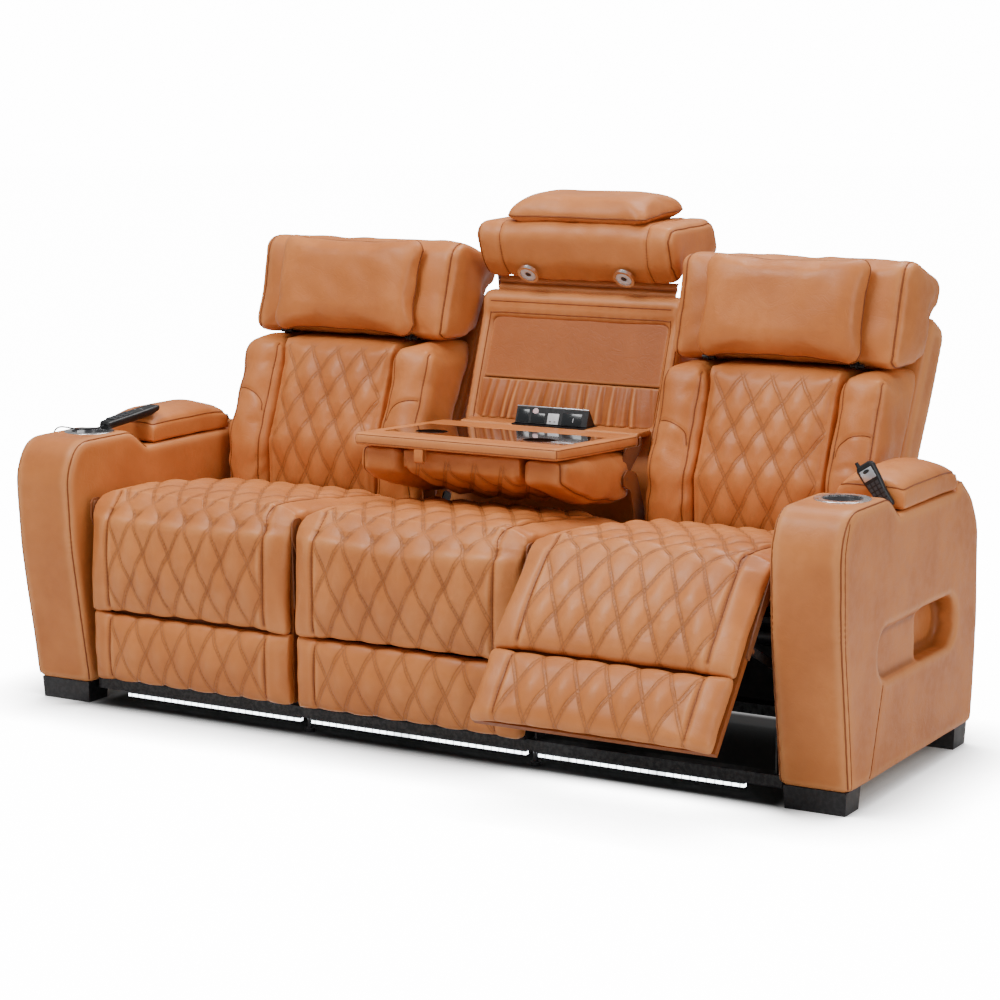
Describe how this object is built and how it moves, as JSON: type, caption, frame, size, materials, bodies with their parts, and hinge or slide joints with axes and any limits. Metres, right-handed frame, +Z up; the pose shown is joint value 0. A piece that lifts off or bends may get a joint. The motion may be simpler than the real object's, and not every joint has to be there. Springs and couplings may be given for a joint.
{
  "type": "three-seater power reclining sofa",
  "caption": "Tan quilted leather power reclining sofa with lift-up footrests, fold-down middle table, raised lamp headrest, arm cup holders and storage",
  "frame": {"origin": "on the floor, in the middle of the width and of the whole depth as shown, with the right footrest part open", "axes": "+X to the viewer's right along the seat, -Y to the front, +Z up"},
  "size_m": [2.1952, 1.3418, 1.2356],
  "materials": {
    "leather": "tan split leather over foam, light grain",
    "plywood": "bare board",
    "steel_rim": "brushed",
    "dark_steel": "satin black",
    "black_plastic": "satin",
    "grey_keys": "matt silicone",
    "lamp_chrome": "polished",
    "smoked_gloss": "high gloss",
    "light_strip": "clear diffuser",
    "black_rubber": "matt"
  },
  "bodies": {
    "base": {"arm_cover_right": "leather", "cord_grommet": "black_rubber", "arm_cover_left": "leather", "arm_frames": "plywood", "cup_holders": "steel_rim", "lid_hinges": "dark_steel", "storage_bins": "black_plastic", "light_bar": "light_strip", "legs": "black_plastic", "base_frame": "dark_steel", "seat_boxes": "plywood", "drive_units": "black_plastic", "seat_cushion_left": "leather", "seat_cushion_right": "leather", "seat_cushion_middle": "leather", "front_pads_middle": "leather", "middle_back_frame": "leather", "ruched_pocket": "leather", "recess_panels": "leather", "outlet_housing": "black_plastic", "handset_right": "black_plastic", "remote_cord_left": "black_rubber"},
    "footrest_left": {"footrest_board_left": "plywood", "footrest_pads_left": "leather", "footrest_arms_left": "dark_steel"},
    "crank_left": {"footrest_cranks_left": "dark_steel"},
    "push_bar_left": {"push_bars_left": "dark_steel"},
    "back_left": {"back_slab_left": "leather", "back_quilt_left": "leather", "back_wings_left": "leather", "back_hardware_left": "dark_steel"},
    "head_left": {"headrest_left": "leather", "head_pillow_left": "leather"},
    "lid_left": {"arm_lid_left": "leather", "remote_left": "black_plastic"},
    "footrest_right": {"footrest_board_right": "plywood", "footrest_pads_right": "leather", "footrest_arms_right": "dark_steel"},
    "crank_right": {"footrest_cranks_right": "dark_steel"},
    "push_bar_right": {"push_bars_right": "dark_steel"},
    "back_right": {"back_slab_right": "leather", "back_quilt_right": "leather", "back_wings_right": "leather", "back_hardware_right": "dark_steel"},
    "head_right": {"headrest_right": "leather", "head_pillow_right": "leather"},
    "lid_right": {"arm_lid_right": "leather"},
    "table": {"table_board": "leather", "table_insert": "smoked_gloss", "table_cups": "steel_rim", "table_brackets": "dark_steel", "table_cushion": "leather", "pull_strap": "leather"},
    "head_middle": {"headrest_middle": "leather", "headrest_arms_middle": "dark_steel", "reading_lamps": "lamp_chrome", "head_pillow_middle": "leather"},
    "flap": {"outlet_flap": "black_plastic"},
    "remote_keys": {"remote_keys_left": "grey_keys"},
    "handset_keys": {"handset_keys_right": "grey_keys"}
  },
  "joints": [
    {"name": "footrest_hinge_left", "type": "hinge", "parent": "base", "child": "footrest_left", "pos_m": [-0.6075, -0.37398, 0.496], "axis": [-1, 0, 0], "range_deg": [0, 88]},
    {"name": "crank_turn_left", "type": "hinge", "parent": "base", "child": "crank_left", "pos_m": [-0.6075, 0.02602, 0.306], "axis": [-1, 0, 0], "range_deg": [0, 88]},
    {"name": "bar_pivot_left", "type": "hinge", "parent": "crank_left", "child": "push_bar_left", "pos_m": [-0.6075, 0.04902, 0.14], "axis": [-1, 0, 0], "range_deg": [-88, 0]},
    {"name": "recline_hinge_left", "type": "hinge", "parent": "base", "child": "back_left", "pos_m": [-0.6075, 0.24402, 0.325], "axis": [-1, 0, 0], "range_deg": [0, 30]},
    {"name": "head_tilt_left", "type": "hinge", "parent": "back_left", "child": "head_left", "pos_m": [-0.6075, 0.30402, 0.868], "axis": [1, 0, 0], "range_deg": [0, 28]},
    {"name": "lid_hinge_left", "type": "hinge", "parent": "base", "child": "lid_left", "pos_m": [-1.005, 0.22102, 0.643], "axis": [-1, 0, 0], "range_deg": [0, 72]},
    {"name": "footrest_hinge_right", "type": "hinge", "parent": "base", "child": "footrest_right", "pos_m": [0.6075, -0.37398, 0.496], "axis": [-1, 0, 0], "range_deg": [-39, 49]},
    {"name": "crank_turn_right", "type": "hinge", "parent": "base", "child": "crank_right", "pos_m": [0.6075, 0.02602, 0.306], "axis": [-1, 0, 0], "range_deg": [-39, 49]},
    {"name": "bar_pivot_right", "type": "hinge", "parent": "crank_right", "child": "push_bar_right", "pos_m": [0.6075, -0.06057, 0.16252], "axis": [-1, 0, 0], "range_deg": [-49, 39]},
    {"name": "recline_hinge_right", "type": "hinge", "parent": "base", "child": "back_right", "pos_m": [0.6075, 0.24402, 0.325], "axis": [-1, 0, 0], "range_deg": [0, 30]},
    {"name": "head_tilt_right", "type": "hinge", "parent": "back_right", "child": "head_right", "pos_m": [0.6075, 0.30402, 0.868], "axis": [1, 0, 0], "range_deg": [0, 28]},
    {"name": "lid_hinge_right", "type": "hinge", "parent": "base", "child": "lid_right", "pos_m": [1.005, 0.22102, 0.643], "axis": [-1, 0, 0], "range_deg": [0, 72]},
    {"name": "table_fold", "type": "hinge", "parent": "base", "child": "table", "pos_m": [0, 0.11902, 0.588], "axis": [-1, 0, 0], "range_deg": [0, 107.5]},
    {"name": "head_fold_middle", "type": "hinge", "parent": "base", "child": "head_middle", "pos_m": [0, 0.50902, 0.925], "axis": [1, 0, 0], "range_deg": [0, 70]},
    {"name": "flap_hinge", "type": "hinge", "parent": "base", "child": "flap", "pos_m": [0, 0.32102, 0.672], "axis": [1, 0, 0], "range_deg": [0, 46]},
    {"name": "remote_keys_press", "type": "slide", "parent": "lid_left", "child": "remote_keys", "axis": [0.0362, 0.1651, -0.9856], "range_m": [0, 0.001], "stiffness_N_per_m": 250, "springref_m": -0.0006},
    {"name": "handset_keys_press", "type": "slide", "parent": "base", "child": "handset_keys", "axis": [0, 1, 0], "range_m": [0, 0.001], "stiffness_N_per_m": 250, "springref_m": -0.0006}
  ],
  "couplings": [
    {"joint": "crank_turn_left", "follows": "footrest_hinge_left", "ratio": 1},
    {"joint": "bar_pivot_left", "follows": "footrest_hinge_left", "ratio": -1},
    {"joint": "crank_turn_right", "follows": "footrest_hinge_right", "ratio": 1},
    {"joint": "bar_pivot_right", "follows": "footrest_hinge_right", "ratio": -1}
  ]
}
